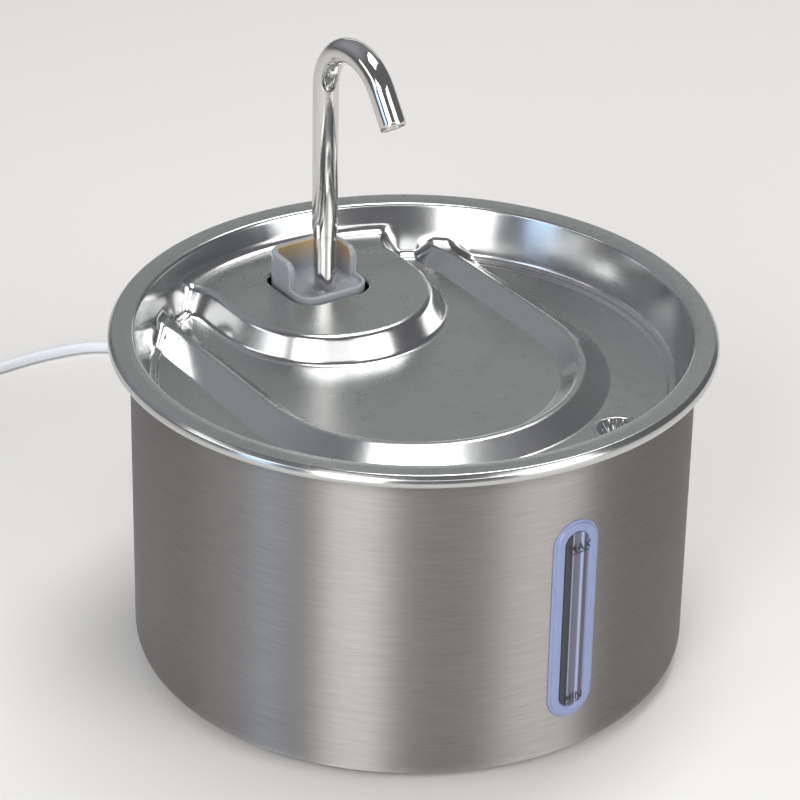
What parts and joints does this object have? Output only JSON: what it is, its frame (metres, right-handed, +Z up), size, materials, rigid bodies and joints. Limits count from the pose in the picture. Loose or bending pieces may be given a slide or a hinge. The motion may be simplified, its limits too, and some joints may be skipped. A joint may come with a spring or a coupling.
{
  "type": "pet water fountain",
  "caption": "Round steel bowl fountain for pets: pressed lid tray with a swivelling gooseneck spout, a water-level window, and a submersible pump and filter in a lift-out case.",
  "frame": {"origin": "on the table under the centre of the bowl", "axes": "+Z up, +Y towards the back where the spout's foot and the lead's exit are, -Y towards the water-level window, +X to the right seen from the window"},
  "size_m": [0.2349, 0.3358, 0.2022],
  "materials": {
    "brushed_steel": "fine horizontal brushing, satin",
    "pressed_steel": "satin floor, bright formed edges",
    "bright_steel": "polished",
    "milky_silicone": "smooth, slightly translucent",
    "clear_plastic": "clear, glossy",
    "pad_rubber": "matt",
    "clamp_plastic": "matt",
    "lead_jacket": "smooth satin",
    "plug_grip": "fine matt",
    "plated_shell": "bright plate",
    "contact_plastic": "matt",
    "case_plastic": "fine matt",
    "cup_rubber": "smooth",
    "pump_plastic": "fine matt",
    "screw_steel": "turned",
    "core_steel": "laminated",
    "winding": "enamelled wire",
    "board": "coated board",
    "ceramic": "ground",
    "magnet": "sintered",
    "impeller_plastic": "matt",
    "cotton": "fluffy",
    "carbon": "granules in mesh",
    "tie_rubber": "matt"
  },
  "bodies": {
    "bowl_body": {"bowl": "brushed_steel", "foot_pads": "pad_rubber", "window_seal": "milky_silicone", "window_lens": "clear_plastic", "window_clamp": "clamp_plastic", "cord_grommet": "pad_rubber", "pump_lead": "lead_jacket", "power_cord": "lead_jacket", "cord_coil": "lead_jacket", "cord_ties": "tie_rubber", "cord_tail": "lead_jacket", "usb_plug_grip": "plug_grip", "usb_plug_shell": "plated_shell", "usb_plug_tongue": "contact_plastic", "filter_case": "case_plastic", "suction_cups": "cup_rubber", "pump_housing": "pump_plastic", "pump_back_cap": "pump_plastic", "cap_screws": "screw_steel", "stator_core": "core_steel", "stator_coils": "winding", "driver_board": "board", "rear_bush": "ceramic", "pump_shaft": "ceramic"},
    "pump_front_body": {"pump_cover": "pump_plastic", "front_bush": "ceramic"},
    "rotor_body": {"impeller": "impeller_plastic", "rotor_magnet": "magnet"},
    "cover_body": {"case_cover": "case_plastic", "riser_pipe": "case_plastic"},
    "cartridge_body": {"cartridge_frame": "case_plastic", "cotton_pad": "cotton", "carbon_bed": "carbon"},
    "seat_body": {"spout_seat": "milky_silicone"},
    "spout_body": {"spout_tube": "bright_steel"},
    "lid_body": {"lid_tray": "pressed_steel"}
  },
  "joints": [
    {"name": "lid_lift", "type": "slide", "parent": "bowl_body", "child": "lid_body", "axis": [0, 0, 1], "range_m": [0, 0.045]},
    {"name": "cover_lift", "type": "slide", "parent": "bowl_body", "child": "cover_body", "axis": [0, 0, 1], "range_m": [0, 0.03]},
    {"name": "seat_lift", "type": "slide", "parent": "cover_body", "child": "seat_body", "axis": [0, 0, 1], "range_m": [0, 0.025]},
    {"name": "spout_swivel", "type": "hinge", "parent": "seat_body", "child": "spout_body", "pos_m": [0, 0.0538, 0.1011], "axis": [0, 0, 1], "continuous": true},
    {"name": "cartridge_lift", "type": "slide", "parent": "bowl_body", "child": "cartridge_body", "axis": [0, 0, 1], "range_m": [0, 0.03]},
    {"name": "pump_front_pull", "type": "slide", "parent": "bowl_body", "child": "pump_front_body", "axis": [0, -1, 0], "range_m": [0, 0.012]},
    {"name": "impeller_spin", "type": "hinge", "parent": "bowl_body", "child": "rotor_body", "pos_m": [0, 0.06, 0.027], "axis": [0, 1, 0], "continuous": true}
  ]
}
